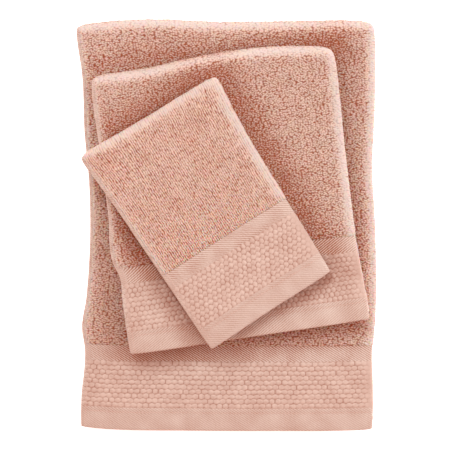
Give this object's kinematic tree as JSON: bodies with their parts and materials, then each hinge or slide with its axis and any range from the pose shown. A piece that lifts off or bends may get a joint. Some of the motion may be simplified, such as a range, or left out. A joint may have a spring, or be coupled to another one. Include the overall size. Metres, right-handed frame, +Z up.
{
  "type": "bath towel set",
  "caption": "Bath towel, hand towel and guest towel in terry with dobby borders, each folded and laid on the one below at a turn; the towels lift off and the top one opens.",
  "frame": {"origin": "on the ground, at the middle of the folded bath towel", "axes": "+X towards the bath towel's lengthwise fold, +Y towards its crosswise fold, away from the bordered front ends, +Z up"},
  "size_m": [0.3519, 0.4779, 0.0715],
  "materials": {
    "terry": "dyed cotton terry, loops on both faces, peach terracotta",
    "flat_weave": "dyed cotton flat twill of the hems and header bands",
    "dobby_weave": "dyed cotton dobby panel with raised rounded floats in brick rows",
    "sewing_thread": "matching spun sewing thread, lockstitch"
  },
  "bodies": {
    "bath_towel": {"bath_towel_back_dobby_panel": "dobby_weave", "bath_towel_back_end_hem": "flat_weave", "bath_towel_back_header_band": "flat_weave", "bath_towel_back_hem_thread": "sewing_thread", "bath_towel_front_dobby_panel": "dobby_weave", "bath_towel_front_end_hem": "flat_weave", "bath_towel_front_header_band": "flat_weave", "bath_towel_front_hem_thread": "sewing_thread", "bath_towel_lower_side_hem": "flat_weave", "bath_towel_lower_side_hem_thread": "sewing_thread", "bath_towel_terry_field": "terry", "bath_towel_upper_side_hem": "flat_weave", "bath_towel_upper_side_hem_thread": "sewing_thread"},
    "hand_towel": {"hand_towel_back_dobby_panel": "dobby_weave", "hand_towel_back_end_hem": "flat_weave", "hand_towel_back_header_band": "flat_weave", "hand_towel_back_hem_thread": "sewing_thread", "hand_towel_front_dobby_panel": "dobby_weave", "hand_towel_front_end_hem": "flat_weave", "hand_towel_front_header_band": "flat_weave", "hand_towel_front_hem_thread": "sewing_thread", "hand_towel_lower_side_hem": "flat_weave", "hand_towel_lower_side_hem_thread": "sewing_thread", "hand_towel_terry_field": "terry", "hand_towel_upper_side_hem": "flat_weave", "hand_towel_upper_side_hem_thread": "sewing_thread"},
    "guest_towel": {"guest_towel_back_dobby_panel": "dobby_weave", "guest_towel_back_end_hem": "flat_weave", "guest_towel_back_header_band": "flat_weave", "guest_towel_back_hem_thread": "sewing_thread", "guest_towel_bottom_leaf_lower_side_hem": "flat_weave", "guest_towel_bottom_leaf_lower_side_hem_thread": "sewing_thread", "guest_towel_bottom_leaf_terry_field": "terry", "guest_towel_bottom_leaf_upper_side_hem": "flat_weave", "guest_towel_bottom_leaf_upper_side_hem_thread": "sewing_thread"},
    "guest_towel_top_leaf": {"guest_towel_front_dobby_panel": "dobby_weave", "guest_towel_front_end_hem": "flat_weave", "guest_towel_front_header_band": "flat_weave", "guest_towel_front_hem_thread": "sewing_thread", "guest_towel_top_leaf_lower_side_hem": "flat_weave", "guest_towel_top_leaf_lower_side_hem_thread": "sewing_thread", "guest_towel_top_leaf_terry_field": "terry", "guest_towel_top_leaf_upper_side_hem": "flat_weave", "guest_towel_top_leaf_upper_side_hem_thread": "sewing_thread"}
  },
  "joints": [
    {"name": "hand_towel_lift", "type": "slide", "parent": "bath_towel", "child": "hand_towel", "axis": [0, 0, 1], "range_m": [0, 0.25]},
    {"name": "guest_towel_lift", "type": "slide", "parent": "hand_towel", "child": "guest_towel", "axis": [0, 0, 1], "range_m": [0, 0.2]},
    {"name": "guest_towel_open", "type": "hinge", "parent": "guest_towel", "child": "guest_towel_top_leaf", "pos_m": [-0.08695, 0.1267, 0.06275], "axis": [-0.8526, -0.5225, 0], "range_deg": [0, 150]}
  ]
}
